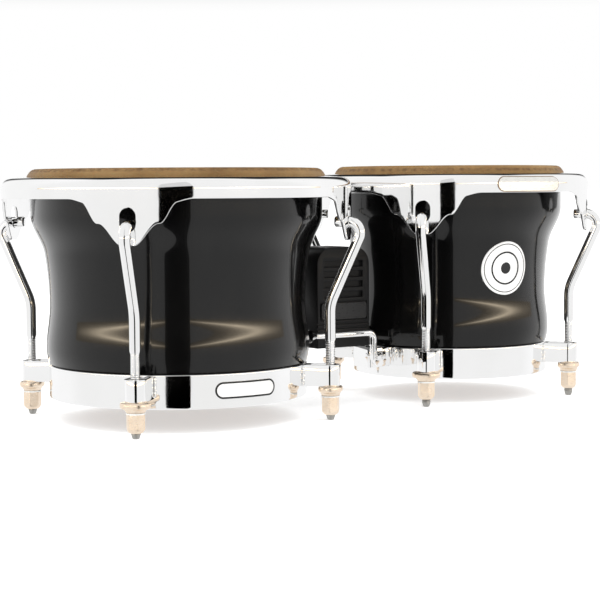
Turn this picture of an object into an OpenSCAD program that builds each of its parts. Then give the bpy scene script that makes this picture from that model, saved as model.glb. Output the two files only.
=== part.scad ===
// Pair of bongo drums: a large drum (hembra) and a small drum (macho) joined by a centre block.
// Millimetres, +Z up. The part stands on the eight tension rod tips at Z = 0, centred on X and Y.
// X runs from the hembra to the macho, and -Y is the side with the badges.

/* [Shells] */
// Outer radius of the hembra shell under its head
hembra_r = 108.3; // [106:0.1:110]
// Outer radius of the macho shell under its head
macho_r = 92; // [90:0.1:93]
// Distance between the two drum axes
drum_spacing = 260; // [258:1:270]
// How much higher the macho sits on its longer rod tips
macho_lift = 2; // [1:0.5:3]
// Angle by which the macho's lugs, hoop and badges are turned from the square, as built
macho_turn = 4.2; // [3.8:0.1:4.6]
// Thickness of the wooden shell wall
shell_wall = 7; // [5:0.5:9]

/* [Hoops and heads] */
// Thickness of the pressed hoop sheet
hoop_sheet = 2.5; // [2:0.1:3]
// How far the hoop stands out from the shell
hoop_reach = 21.8; // [21:0.1:23.5]
// Height of the head above the hoop lip
head_rise = 6; // [4:0.5:7]
// Thickness of the skin
skin_t = 2; // [1.5:0.1:2.5]

/* [Hardware] */
// Diameter of the plain part of a tension rod
rod_d = 8; // [7:0.1:8]
// Diameter of the threaded part of a tension rod, at its pitch line
thread_d = 6.6; // [6:0.1:6.8]
// Width across the flats of a tuning nut
nut_af = 12; // [11:0.1:13]
// Diameter of the two support rods of the centre block
support_d = 6; // [5:0.1:6.2]

/* [Centre block] */
// Width of the block, from drum to drum
block_w = 50; // [46:1:51]
// Depth of the block, front to back
block_d = 40; // [38:1:44]
// Height of the block above the support rods
block_h = 68.5; // [64:0.5:72]

/* [Hidden] */
$fn = 72;

// Per drum: index 0 is the hembra, index 1 is the macho.
shell_r = [hembra_r, macho_r];
lift = [0, macho_lift];
turn = [0, -macho_turn];
hoop_r = [for (r = shell_r) r + hoop_reach];
part_w = hoop_r[0] + drum_spacing + hoop_r[1];
drum_x = [hoop_r[0] - part_w / 2, part_w / 2 - hoop_r[1]];
drum_name = ["hembra", "macho"];

// Bottom ring and lugs. Heights are above the drum's own datum, which is the hembra's rod tips.
ring_drop = 12;
ring_r = [for (r = shell_r) r - ring_drop];
ring_t = 2.5;
ring_z = 17.4;
ring_h = 24.6;
ring_lip = 9;
lug_out = 19.3;
lug_r = [for (r = ring_r) r + lug_out];
strap_t = 2.5;
strap_h = 16;
loop_w = 15.6;
loop_end = 7.2;
bracket_corner = 3;
strap_z = 25.4;
cup_z = 18.3;
nylon_t = 1.3;
nut_top = cup_z - nylon_t;
nut_bottom = 4;
nut_taper = 3;
nut_gap = 0.06;
tip_r = 2.4;
tip_taper = 2.5;
thread_top = 58;

// Hoop
lip_r = [for (r = shell_r) r + 4];
hoop_bottom = 164.7;
hoop_top = 180;
shoulder_r = 7.5;
top_slope = 0.04;
ear_flare = 3.2;
ear_flare_in = 28;
ear_flare_out = 44.5;
ear_step = 13.5;
ear_step_in = 22.2;
ear_step_out = 33.4;
ear_lobe = 15;
ear_lobe_in = 4.2;
ear_lobe_out = 21.3;
collar_foot = hoop_bottom + 3.5;
slot_w = 11.6;
slot_bottom = 142.4;
slot_top = 158.8;

// Tension rod hook
rod_r = rod_d / 2;
kink_z = 86;
kink_r = 30;
hook_z = slot_bottom + 0.1 + rod_r;
hook_r = 8.5;
hook_lean = 25;
hook_tip = 9;

// Centre block
block_x = (drum_x[0] + ring_r[0] + drum_x[1] - ring_r[1]) / 2;
rod_z = 56;
rod_y = block_d / 2 - 1.5;
plate_pocket = 1.2;
support_r = support_d / 2;
leg_out = 11.5;
leg_bottom = 34;
leg_bend = 5;
clamp_h = 10;
clamp_gap = 0.4;

function smooth(t) = let (c = min(1, max(0, t))) c * c * (3 - 2 * c);
function hermite(t, a, b, ma, mb) =
    (2 * t ^ 3 - 3 * t ^ 2 + 1) * a + (t ^ 3 - 2 * t ^ 2 + t) * ma
    + (3 * t ^ 2 - 2 * t ^ 3) * b + (t ^ 3 - t ^ 2) * mb;

// The shell's outline: how far it is inside its top radius at a height, as knots of [z, inset, slope].
shell_knots = [[152, 0, 0], [124, 9.8, -0.16], [86, 13, 0], [54, 10.2, 0], [42.5, 12, -0.25]];
function inset_in(k, z) =
    let (a = shell_knots[k], b = shell_knots[k + 1], h = b[0] - a[0])
    hermite((z - a[0]) / h, a[1], b[1], a[2] * h, b[2] * h);
function shell_inset(z) =
    z >= 152 ? 0 : z >= 124 ? inset_in(0, z) : z >= 86 ? inset_in(1, z) : z >= 54 ? inset_in(2, z)
    : inset_in(3, z);
shell_foot = ring_z + strap_t + 0.1;
shell_top = hoop_top + head_rise - skin_t - 0.05;
seat_inset = ring_drop + ring_t + 0.15;

// One drum part, placed on its axis and at its height
module at_drum(d) {
    translate([drum_x[d], 0, lift[d]])
        children();
}

// One lug position, numbered 1 to 4 from the back right and turning from +X towards +Y
module at_lug(d, n) {
    at_drum(d)
        rotate([0, 0, 90 * n - 45 + turn[d]])
            children();
}

module chrome() {
    color([0.86, 0.87, 0.88])
        children();
}

module copper() {
    color([0.86, 0.68, 0.52])
        children();
}

// Lathe-turned wooden shell with a rounded bearing edge and a seat for the bottom ring
module shell(d) {
    r = shell_r[d];
    steps = [for (z = [152:-4:44]) [r - shell_inset(z), z]];
    inner = [for (z = [44:6:152]) [r - shell_inset(z) - shell_wall, z]];
    color([0.06, 0.06, 0.065])
        at_drum(d)
            rotate_extrude($fn = 120)
                polygon(concat(
                    [[r - 7, shell_top], [r - 3.4, shell_top - 0.6], [r - 1, shell_top - 2.6],
                     [r, shell_top - 6]],
                    steps,
                    [[r - seat_inset, ring_z + ring_h + 0.25], [r - seat_inset, shell_foot],
                     [r - seat_inset - 5.5, shell_foot]],
                    inner,
                    [[r - shell_wall - 2, shell_top - 4]]));
}

// Bottom ring: a flat band with a lip turned in under the shell
module bottom_ring(d) {
    r = ring_r[d];
    chrome()
        at_drum(d)
            rotate_extrude($fn = 120)
                polygon([[r - 0.8, ring_z], [r, ring_z + 0.8], [r, ring_z + ring_h - 0.8],
                         [r - 0.8, ring_z + ring_h], [r - ring_t, ring_z + ring_h],
                         [r - ring_t, ring_z + ring_t], [r - ring_lip, ring_z + ring_t],
                         [r - ring_lip, ring_z]]);
}

// Plan of a lug bracket: a strap bent into a U with a half-round end
module lug_plan(from, to) {
    centre = to - loop_w / 2;
    difference() {
        union() {
            translate([from, -loop_w / 2])
                square([centre - from, loop_w]);
            translate([centre, 0])
                circle(d = loop_w, $fn = 64);
        }
        translate([from - 1, strap_t - loop_w / 2])
            square([centre - from + 1, loop_w - 2 * strap_t]);
        translate([centre, 0])
            circle(d = loop_w - 2 * strap_t, $fn = 64);
    }
}

// Welded loop that a tension rod passes down through
module lug_bracket(d, n) {
    chrome()
        at_lug(d, n)
            difference() {
                translate([0, 0, strap_z])
                    linear_extrude(strap_h)
                        lug_plan(ring_r[d] - 4, lug_r[d] + loop_end);
                cylinder(r = ring_r[d] + 0.01, h = 60, $fn = 120);
            }
}

// Plan of a block bracket: a strap bent into a U with two rounded corners
module strap_plan(w, from, to, corner) {
    difference() {
        union() {
            translate([from, -w / 2])
                square([to - from - corner, w]);
            translate([from, corner - w / 2])
                square([to - from, w - 2 * corner]);
            for (s = [-1, 1])
                translate([to - corner, s * (w / 2 - corner)])
                    circle(r = corner, $fn = 48);
        }
        translate([from - 1, strap_t - w / 2])
            square([to - from + 1 - strap_t, w - 2 * strap_t]);
    }
}

// Side of the ring that faces the centre block: +X on the hembra, -X on the macho
module at_block_side(d) {
    at_drum(d)
        rotate([0, 0, d == 0 ? 0 : 180])
            children();
}

// Welded strap that faces the block, with a tab beside it that holds one support rod's leg
module block_bracket(d) {
    bracket_w = 23.4;
    bracket_out = 13.5;
    bracket_y = rod_y - support_r - 0.05 - bracket_w / 2;
    tab_t = 6.6;
    tab_h = 15;
    tab_corner = 5;
    leg_x = ring_r[d] + leg_out;
    chrome()
        at_block_side(d)
            difference() {
                union() {
                    translate([0, bracket_y, strap_z])
                        linear_extrude(strap_h)
                            strap_plan(bracket_w, ring_r[d] - 8, ring_r[d] + bracket_out, bracket_corner);
                    translate([0, rod_y + 1.5, 0])
                        rotate([90, 0, 0])
                            linear_extrude(tab_t) {
                                translate([ring_r[d] - 8, strap_z + strap_h - tab_h + tab_corner])
                                    square([leg_x - ring_r[d] + 8, tab_h - tab_corner]);
                                translate([leg_x - tab_corner, strap_z + strap_h - tab_h + tab_corner])
                                    circle(r = tab_corner, $fn = 48);
                                translate([ring_r[d] - 8, strap_z + strap_h - tab_h])
                                    square([leg_x - ring_r[d] + 8 - tab_corner, tab_corner + 1]);
                            }
                }
                cylinder(r = ring_r[d] + 0.01, h = 60, $fn = 120);
                translate([leg_x, rod_y, 0])
                    cylinder(r = support_r + 0.01, h = 60, $fn = 48);
            }
}

// How far the hoop's hem hangs below its band, at a distance across the radius of the nearest lug
function hem_drop(s) =
    ear_flare * smooth((ear_flare_out - abs(s)) / (ear_flare_out - ear_flare_in))
    + ear_step * smooth((ear_step_out - abs(s)) / (ear_step_out - ear_step_in))
    + ear_lobe * smooth((ear_lobe_out - abs(s)) / (ear_lobe_out - ear_lobe_in));

// The hoop's section at an angle: up the outside, over the shoulder to the lip, and down the inside
function hoop_section(d, a) =
    let (w = hoop_r[d], zb = hoop_bottom - hem_drop(w * sin(a)), q = shoulder_r, t = hoop_sheet,
         l = lip_r[d], zs = hoop_top - top_slope * (w - l))
    concat(
        [[w, zb + 0.5]],
        [for (u = [0, 30, 60, 90]) [w - q + q * cos(u), zs - q + q * sin(u)]],
        [[l + 0.8, hoop_top], [l, hoop_top - 0.8], [l, hoop_top - t]],
        [for (u = [90, 45, 0]) [w - q + (q - t) * cos(u), zs - q + (q - t) * sin(u)]],
        [[w - t, zb], [w - 0.5, zb]]);

lug_angles = concat([for (a = [-45:4.5:-31.5]) a], [for (a = [-27:1.8:27]) a], [for (a = [31.5:4.5:40.5]) a]);

// Pressed and chromed hoop, round in plan, with four slotted ears hanging from its hem
module hoop(d) {
    angles = [for (k = [0:3]) for (a = lug_angles) [90 * k + 45 + a, a]];
    rings = len(angles);
    pts = len(hoop_section(d, 0));
    vertices = [for (a = angles) for (p = hoop_section(d, a[1])) [p[0] * cos(a[0]), p[0] * sin(a[0]), p[1]]];
    faces = [for (i = [0:rings - 1]) for (j = [0:pts - 1])
             let (i2 = (i + 1) % rings, j2 = (j + 1) % pts,
                  p = i * pts + j, q = i * pts + j2, r = i2 * pts + j2, s = i2 * pts + j)
             each [[p, q, r], [p, r, s]]];
    chrome()
        at_drum(d)
            rotate([0, 0, turn[d]])
                difference() {
                    polyhedron(vertices, faces, convexity = 10);
                    for (n = [1:4])
                        rotate([0, 0, 90 * n - 45])
                            slot(d);
                }
}

// Slot in an ear, cut straight along the radius
module slot(d) {
    translate([hoop_r[d] - 8, 0, 0])
        rotate([90, 0, 90])
            linear_extrude(16) {
                for (z = [slot_bottom + slot_w / 2, slot_top - slot_w / 2])
                    translate([0, z])
                        circle(d = slot_w, $fn = 32);
                translate([-slot_w / 2, slot_bottom + slot_w / 2])
                    square([slot_w, slot_top - slot_bottom - slot_w]);
            }
}

// Steel ring that the skin is tucked round, held under the hoop
module flesh_hoop(d) {
    inner = shell_r[d] + 3.8;
    outer = shell_r[d] + 8.1;
    top = hoop_top - hoop_sheet - 1.2;
    color([0.55, 0.5, 0.42])
        at_drum(d)
            rotate_extrude($fn = 120)
                polygon([[inner, top - 6.5], [inner + 1, top - 7.5], [outer - 1, top - 7.5],
                         [outer, top - 6.5], [outer, top - 2.5], [outer - 1.5, top], [inner + 1, top],
                         [inner, top - 1]]);
}

// Buffalo skin: flat playing surface, rolled edge and a collar that runs down inside the flesh hoop
module head(d) {
    r = shell_r[d];
    top = hoop_top + head_rise;
    t = skin_t;
    color([0.78, 0.64, 0.44])
        at_drum(d)
            rotate_extrude($fn = 120)
                polygon([[0, top], [r - 4, top], [r - 1.4, top - 0.7], [r + 0.6, top - 2.2],
                         [r + 2.2, top - 4.2], [r + 3.4, top - 7.5], [r + 3.4, collar_foot],
                         [r + 3.4 - t, collar_foot], [r + 3.4 - t, top - 8],
                         [r + 0.6, top - 5.8], [r - 0.7, top - 3.4], [r - 3.1, top - t - 0.35],
                         [r - 7, top - t], [0, top - t]]);
}

// Rod bend: an arc of a tube, a hair thicker than the straight parts so that they end inside it
module bend(radius, d, angle) {
    rotate([90, 0, 0])
        rotate_extrude(angle = angle, $fn = 96)
            translate([radius, 0])
                circle(d = d + 0.04, $fn = 48);
}

// Tension rod: threaded foot, plain shank, one kink outwards and a hook through the ear's slot
module tension_rod(d, n) {
    lap = 0.2;
    hook_x = hoop_r[d] - hoop_sheet / 2;
    // The hook's bend is centred under the level stretch that lies in the slot.
    bend_x = hook_x + 0.5;
    bend_z = hook_z - hook_r;
    // End of the bend, where the rod starts down towards the drum, and the kink where it turns upright
    down_x = bend_x + hook_r * cos(hook_lean);
    down_z = bend_z - hook_r * sin(hook_lean);
    foot_x = lug_r[d];
    slope = atan2(down_x - foot_x, down_z - kink_z);
    kink_t = kink_r * tan(slope / 2);
    shank_l = norm([down_x - foot_x, down_z - kink_z]) - kink_t;
    chrome()
        at_lug(d, n) {
            translate([foot_x, 0, -lift[d]]) {
                cylinder(r1 = tip_r, r2 = thread_d / 2, h = tip_taper, $fn = 48);
                translate([0, 0, tip_taper])
                    cylinder(d = thread_d, h = thread_top + lift[d] - tip_taper + lap, $fn = 48);
            }
            translate([foot_x, 0, thread_top])
                cylinder(d = rod_d, h = kink_z - kink_t - thread_top + lap, $fn = 48);
            // Kink outwards, then the leaning shank
            translate([foot_x + kink_r, 0, kink_z - kink_t])
                rotate([0, 180 + slope, 0])
                    bend(kink_r, rod_d, slope);
            translate([down_x, 0, down_z])
                rotate([0, 180 + slope, 0])
                    translate([0, 0, -lap])
                        cylinder(d = rod_d, h = shank_l + 2 * lap, $fn = 48);
            // Hook: a bend over the top and a level tip through the slot
            translate([bend_x, 0, bend_z])
                rotate([0, hook_lean, 0])
                    bend(hook_r, rod_d, 90 + hook_lean);
            translate([bend_x - hook_tip, 0, hook_z])
                rotate([0, 90, 0])
                    cylinder(d = rod_d, h = hook_tip + lap, $fn = 48);
            translate([bend_x - hook_tip - 1, 0, hook_z])
                rotate([0, 90, 0])
                    cylinder(r1 = rod_r - 1, r2 = rod_r, h = 1, $fn = 48);
        }
}

// Oval with its long side along Y
module oval(w, l, h) {
    hull()
        for (s = [-1, 1])
            translate([0, s * (l - w) / 2, 0])
                cylinder(d = w, h = h, $fn = 32);
}

// Oval cup washer under a lug bracket
module cup_washer(d, n) {
    rim_z = 21.2;
    copper()
        at_lug(d, n)
            translate([lug_r[d], 0, 0])
                difference() {
                    union() {
                        translate([0, 0, rim_z])
                            oval(17.5, 22, strap_z - rim_z - 0.02);
                        hull() {
                            translate([0, 0, cup_z])
                                cylinder(r = 6.9, h = 0.5, $fn = 32);
                            translate([0, 0, rim_z - 0.4])
                                oval(15.5, 19.5, 0.4);
                        }
                    }
                    translate([0, 0, cup_z - 1])
                        cylinder(r = 4.2, h = 12, $fn = 48);
                }
}

// Nylon washers between the cup washers and the nuts
module nylon_washers(d) {
    color([0.93, 0.93, 0.91])
        for (n = [1:4])
            at_lug(d, n)
                translate([lug_r[d], 0, nut_top + 0.02])
                    difference() {
                        cylinder(r = 6.8, h = nylon_t - 0.04, $fn = 48);
                        translate([0, 0, -1])
                            cylinder(r = 4.2, h = 4, $fn = 48);
                    }
}

// Hexagonal tuning nut, tapered to its lower end
module tuning_nut(d, n) {
    corner_r = nut_af / 2 / cos(30);
    copper()
        at_lug(d, n)
            translate([lug_r[d], 0, nut_bottom])
                difference() {
                    intersection() {
                        cylinder(r = corner_r, h = nut_top - nut_bottom, $fn = 6);
                        union() {
                            cylinder(r1 = 4.6, r2 = corner_r + 0.02, h = nut_taper);
                            translate([0, 0, nut_taper])
                                cylinder(r = corner_r + 0.02, h = nut_top - nut_bottom - nut_taper - 0.6);
                            translate([0, 0, nut_top - nut_bottom - 0.6])
                                cylinder(r1 = corner_r + 0.02, r2 = corner_r - 0.6, h = 0.6);
                        }
                    }
                    translate([0, 0, -1])
                        cylinder(r = thread_d / 2 + nut_gap, h = 20, $fn = 48);
                }
}

// Support rod: an upright leg welded to the bracket's tab, a bend, and a level run past the block
module support_rod(d) {
    leg_x = ring_r[d] + leg_out;
    run_end = abs(block_x - drum_x[d]) + block_w / 2;
    head_gap = 1.5;
    head_l = 5.3;
    chrome()
        at_block_side(d)
            translate([0, rod_y, -lift[d]]) {
                translate([leg_x, 0, leg_bottom])
                    cylinder(r = support_r, h = rod_z - leg_bend - leg_bottom, $fn = 48);
                translate([leg_x + leg_bend, 0, rod_z - leg_bend])
                    rotate([90, 0, 0])
                        rotate([0, 0, 90])
                            rotate_extrude(angle = 90, $fn = 72)
                                translate([leg_bend, 0])
                                    circle(r = support_r, $fn = 48);
                translate([leg_x + leg_bend, 0, rod_z])
                    rotate([0, 90, 0])
                        cylinder(r = support_r, h = run_end + head_gap - leg_x - leg_bend, $fn = 48);
                translate([run_end + head_gap, 0, rod_z])
                    rotate([0, 90, 0])
                        cylinder(r1 = support_r, r2 = 5.2, h = head_l, $fn = 48);
            }
}

// Grooves that the two support rods lie in
module rod_grooves() {
    for (s = [-1, 1])
        translate([-block_w, s * rod_y, rod_z])
            rotate([0, 90, 0])
                cylinder(r = support_r + 0.05, h = 2 * block_w, $fn = 48);
}

// Front outline of the block, with rounded top corners
module block_outline(w, h, top_r) {
    difference() {
        translate([-w / 2, 0])
            square([w, h]);
        for (s = [-1, 1])
            difference() {
                translate([s * (w / 2 - top_r) + (s < 0 ? -top_r - 1 : 0), h - top_r])
                    square([top_r + 1, top_r + 1]);
                translate([s * (w / 2 - top_r), h - top_r])
                    circle(r = top_r);
            }
    }
}

// Moulded block between the drums, with plain ribbed panels front and back and a shallow pocket for the plate
module block_body() {
    rib_gap = 8;
    rib_count = 4;
    panel_w = block_w - 13;
    color([0.09, 0.09, 0.095])
        translate([block_x, 0, 0])
            difference() {
                translate([0, block_d / 2, rod_z + clamp_gap / 2])
                    rotate([90, 0, 0])
                        linear_extrude(block_d)
                            block_outline(block_w, block_h - clamp_gap / 2, 13.5);
                rod_grooves();
                for (s = [-1, 1])
                    for (k = [0:rib_count - 1])
                        translate([-panel_w / 2, s * (block_d / 2 + 2) - 5, rod_z + 29 + rib_gap * k])
                            cube([panel_w, 10, 5]);
                translate([-22.6, -block_d / 2 - 2, rod_z + 11.3])
                    cube([45.2, 2 + plate_pocket, 14.8]);
                for (s = [-1, 1])
                    for (z = [4.6, 8.2])
                        translate([-block_w, s * (block_d / 2 + 1) - 2, rod_z + z])
                            cube([2 * block_w, 4, 1.4]);
                for (s = [-1, 1])
                    translate([s * 15, 0, rod_z - 1])
                        cylinder(r = 2.56, h = 23, $fn = 48);
            }
}

// Clamp that grips the two support rods from below
module block_clamp() {
    color([0.09, 0.09, 0.095])
        translate([block_x, 0, 0])
            difference() {
                translate([-block_w / 2, -block_d / 2, rod_z - clamp_h])
                    cube([block_w, block_d, clamp_h - clamp_gap / 2]);
                rod_grooves();
                for (s = [-1, 1])
                    translate([s * 15, 0, rod_z - clamp_h - 1]) {
                        cylinder(r = 2.8, h = 20, $fn = 48);
                        cylinder(r = 4.8, h = 5, $fn = 48);
                    }
            }
}

// Two socket screws that pull the clamp up against the block
module block_screws() {
    chrome()
        for (s = [-1, 1])
            translate([block_x + s * 15, 0, rod_z - clamp_h + 0.3])
                difference() {
                    union() {
                        cylinder(r = 4.5, h = 3.68, $fn = 48);
                        cylinder(r = 2.5, h = 28, $fn = 48);
                    }
                    translate([0, 0, -1])
                        cylinder(r = 2, h = 3, $fn = 6);
                }
}

// Blank plate in its pocket on the front of the block
module block_plate() {
    color([0.16, 0.16, 0.165])
        translate([block_x, -block_d / 2 + plate_pocket - 0.02, rod_z + 12.4])
            rotate([90, 0, 0])
                linear_extrude(1 + plate_pocket)
                    difference() {
                        translate([-21.5, 0])
                            square([43, 12.6]);
                        for (sx = [-1, 1])
                            for (sz = [0, 1])
                                translate([sx * 21.5, sz * 12.6])
                                    rotate(45)
                                        square(2, center = true);
                    }
}

// Pill outline, w long and h high
module pill(w, h) {
    square([w - h, h], center = true);
    for (s = [-1, 1])
        translate([s * (w - h) / 2, 0])
            circle(d = h, $fn = 48);
}

// A thin plate that follows a drum's round wall at its front, cut to a pill shape
module curved_pill(r, t, w, h, z) {
    intersection() {
        translate([0, 0, z - h])
            difference() {
                cylinder(r = r + t, h = 2 * h, $fn = 120);
                translate([0, 0, -1])
                    cylinder(r = r + 0.02, h = 2 * h + 2, $fn = 120);
            }
        translate([0, 0, z])
            rotate([90, 0, 0])
                linear_extrude(r + 10)
                    pill(w, h);
    }
}

// Blank label on the hembra's bottom ring
module ring_label() {
    color([0.95, 0.95, 0.94])
        at_drum(0)
            curved_pill(ring_r[0], 0.3, 50, 12, ring_z + ring_h / 2 + 0.5);
}

// Blank badge on the macho's hoop, bent to the hoop's wall and shoulder
module hoop_badge() {
    w = hoop_r[1];
    q = shoulder_r;
    zc = hoop_top - top_slope * (w - lip_r[1]) - q;
    face = [for (u = [0:15:60]) [w - q + (q + 0.8) * cos(u), zc + (q + 0.8) * sin(u)]];
    back = [for (u = [60:-15:0]) [w - q + (q + 0.02) * cos(u), zc + (q + 0.02) * sin(u)]];
    color([0.7, 0.6, 0.5])
        at_drum(1)
            rotate([0, 0, turn[1] - 1])
                intersection() {
                    rotate_extrude($fn = 120)
                        polygon(concat([[w + 0.8, 160]], face, back, [[w + 0.02, 160]]));
                    translate([0, 0, 171.2])
                        rotate([90, 0, 0])
                            linear_extrude(w + 10)
                                pill(58.5, 12);
                }
}

// Round domed badge that follows the macho's waist
module shell_badge() {
    badge_z = 104.8;
    badge_d = 42.4;
    r = macho_r;
    steps = [for (z = [badge_z - 26:4:badge_z + 26]) [r - shell_inset(z) + 0.9, z]];
    back = [for (z = [badge_z + 26:-4:badge_z - 26]) [r - shell_inset(z) + 0.08, z]];
    color([0.94, 0.94, 0.93])
        at_drum(1)
            rotate([0, 0, turn[1] - 1])
                intersection() {
                    rotate_extrude($fn = 120)
                        polygon(concat(steps, back));
                    translate([0, 0, badge_z])
                        rotate([90, 0, 0])
                            cylinder(d = badge_d, h = r + 10);
                }
}

block_body();
block_clamp();
block_screws();
block_plate();
ring_label();  // hembra_ring_label
hoop_badge();  // macho_hoop_badge
shell_badge();  // macho_shell_badge
for (d = [0, 1]) {
    shell(d);
    bottom_ring(d);
    block_bracket(d);
    hoop(d);
    flesh_hoop(d);
    head(d);
    nylon_washers(d);
    support_rod(d);
    for (n = [1:4]) {
        lug_bracket(d, n);
        tension_rod(d, n);
        cup_washer(d, n);
        tuning_nut(d, n);
    }
}
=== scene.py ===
"""Looks of the bongo drums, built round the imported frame.

Shapes are worked out in millimetres and made in metres.
"""
from math import atan2, cos, hypot, pi, radians, sin, sqrt, tan

import bpy
from mathutils import Matrix, Vector

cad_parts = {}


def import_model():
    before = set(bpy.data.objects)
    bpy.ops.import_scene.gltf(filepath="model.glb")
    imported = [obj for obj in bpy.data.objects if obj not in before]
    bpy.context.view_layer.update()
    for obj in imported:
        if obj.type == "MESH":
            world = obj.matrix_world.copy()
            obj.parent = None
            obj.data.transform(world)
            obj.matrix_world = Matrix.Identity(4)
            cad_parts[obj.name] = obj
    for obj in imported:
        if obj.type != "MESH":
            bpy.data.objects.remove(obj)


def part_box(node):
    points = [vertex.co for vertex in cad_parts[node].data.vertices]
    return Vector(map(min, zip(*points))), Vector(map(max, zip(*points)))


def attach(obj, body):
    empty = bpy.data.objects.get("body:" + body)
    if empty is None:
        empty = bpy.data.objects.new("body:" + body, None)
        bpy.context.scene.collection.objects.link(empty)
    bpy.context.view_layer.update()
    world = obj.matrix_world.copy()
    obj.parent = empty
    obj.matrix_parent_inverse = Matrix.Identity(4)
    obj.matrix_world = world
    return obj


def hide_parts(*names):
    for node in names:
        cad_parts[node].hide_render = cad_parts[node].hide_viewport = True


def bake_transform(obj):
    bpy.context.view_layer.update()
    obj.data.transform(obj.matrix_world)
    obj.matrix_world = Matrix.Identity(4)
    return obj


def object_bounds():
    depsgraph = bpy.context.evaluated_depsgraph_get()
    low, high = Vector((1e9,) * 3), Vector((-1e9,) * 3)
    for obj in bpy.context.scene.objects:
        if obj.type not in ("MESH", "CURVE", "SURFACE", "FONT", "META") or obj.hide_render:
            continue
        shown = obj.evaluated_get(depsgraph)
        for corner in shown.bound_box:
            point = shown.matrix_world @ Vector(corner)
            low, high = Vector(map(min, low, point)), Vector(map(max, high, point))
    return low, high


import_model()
cad_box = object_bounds()

MM = 0.001
ROOT = "drums"

# Radii that follow from a drum's shell: each is how far the part stands inside or outside it
RING_INSET = 12
LUG_REACH = 19.3
HOOP_REACH = 21.8
LIP_REACH = 4

# Heights above a drum's own datum, and sizes that the boxes don't give
HOOP_TOP = 180.0
HOOP_BOTTOM = 164.7
SHEET = 2.5
SHOULDER = 7.5
HEAD_TOP = 186.0
SKIN = 2.0
RING_Z = 17.4
RING_H = 24.6
CUP_Z = 18.3
STRAP_Z = 25.4
STRAP_H = 16.0
STRAP_T = 2.5
NUT_BOTTOM = 4.0
NUT_TOP = 17.0
ROD_R = 4.0
PITCH = 1.25
HOOK_Z = 146.5
NUT_FLATS = 12
SHELL_WALL = 7
BADGE_Z = 104.8
MACHO_TURN = -4.2

# The centre block, its clamp and its two support rods
ROD_Z = 56.0
SUPPORT_R = 3.0
SUPPORT_Y = 18.5
SUPPORT_LEG = 11.5
BLOCK_W, BLOCK_D = 50.0, 40.0
SCREW_X = 15


# ---------------------------------------------------------------- frame

def span(node):
    """Lowest and highest corner of a CAD node in millimetres."""
    lo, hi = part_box(node)
    return Vector(lo) * 1000, Vector(hi) * 1000


class Drum:
    """Where one drum stands and how large it is, from the CAD boxes."""

    def __init__(self, name):
        lo, hi = span(name + "_shell")
        self.name = name
        self.x = (lo.x + hi.x) / 2
        self.r = (hi.x - lo.x) / 2
        self.ring = self.r - RING_INSET
        self.lug = self.ring + LUG_REACH
        self.hoop = self.r + HOOP_REACH
        self.lip = self.r + LIP_REACH
        self.lift = span(name + "_bottom_ring")[0].z - RING_Z
        self.hoop_body = name + "_hoop_set"
        self.turn = MACHO_TURN if name == "macho" else 0.0

    def place(self, p):
        return p[0] + self.x, p[1], p[2] + self.lift

    def at_lug(self, n, p):
        """A point given along the lug's radius, across it and up, in the row frame."""
        a = radians(90 * n - 45 + self.turn)
        c, s = cos(a), sin(a)
        return self.place((p[0] * c - p[1] * s, p[0] * s + p[1] * c, p[2]))

    def on_lug(self, n, verts, out=0.0):
        """Points moved out along a lug's radius, in the row frame."""
        return [self.at_lug(n, (x + out, y, z)) for x, y, z in verts]

    def at_block(self, p):
        """A point given on the side that faces the centre block."""
        s = 1 if self.name == "hembra" else -1
        return self.place((s * p[0], s * p[1], p[2]))


# ---------------------------------------------------------------- mesh helpers

def piece(name, verts, faces, mats, body, replaces=(), sharp=32, picks=None):
    """A mesh piece from millimetre points that rides on a body. picks gives each face's material."""
    verts, faces = outward(verts, faces)
    mesh = bpy.data.meshes.new(name)
    mesh.from_pydata([(x * MM, y * MM, z * MM) for x, y, z in verts], [], faces)
    mesh.validate()
    for m in mats:
        mesh.materials.append(MATERIALS[m])
    mesh.polygons.foreach_set("use_smooth", [True] * len(mesh.polygons))
    if picks:
        mesh.polygons.foreach_set("material_index", picks)
    mesh.set_sharp_from_angle(angle=radians(sharp))
    mesh.update()
    obj = bpy.data.objects.new(name, mesh)
    bpy.context.scene.collection.objects.link(obj)
    if body:
        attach(obj, body)
    if replaces:
        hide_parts(*replaces)
    return obj


def grid(rows, across_closed=True, along_closed=False, caps=False):
    """Points and faces of a net of rows. Rows go along, and the points of a row go across."""
    n = len(rows[0])
    verts = [p for row in rows for p in row]
    faces = []
    for i in range(len(rows) if along_closed else len(rows) - 1):
        i2 = (i + 1) % len(rows)
        for j in range(n if across_closed else n - 1):
            j2 = (j + 1) % n
            faces.append((i * n + j, i * n + j2, i2 * n + j2, i2 * n + j))
    if caps:
        faces.append(tuple(range(n - 1, -1, -1)))
        faces.append(tuple((len(rows) - 1) * n + j for j in range(n)))
    return verts, faces


def lathe(outline, steps=192):
    """A closed outline of (r, z) points turned about Z."""
    rows = []
    for i in range(steps):
        a = 2 * pi * i / steps
        rows.append([(r * cos(a), r * sin(a), z) for r, z in reversed(outline)])
    return grid(rows, along_closed=True)


def circle(r, z, steps, x=0, y=0):
    """Points round an upright axis at a height."""
    return [(x + r * cos(2 * pi * k / steps), y + r * sin(2 * pi * k / steps), z)
            for k in range(steps)]


def arc(cx, cy, r, a0, a1, n):
    """Points on an arc, angles in degrees."""
    return [(cx + r * cos(radians(a0 + (a1 - a0) * i / n)),
             cy + r * sin(radians(a0 + (a1 - a0) * i / n))) for i in range(n + 1)]


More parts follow.
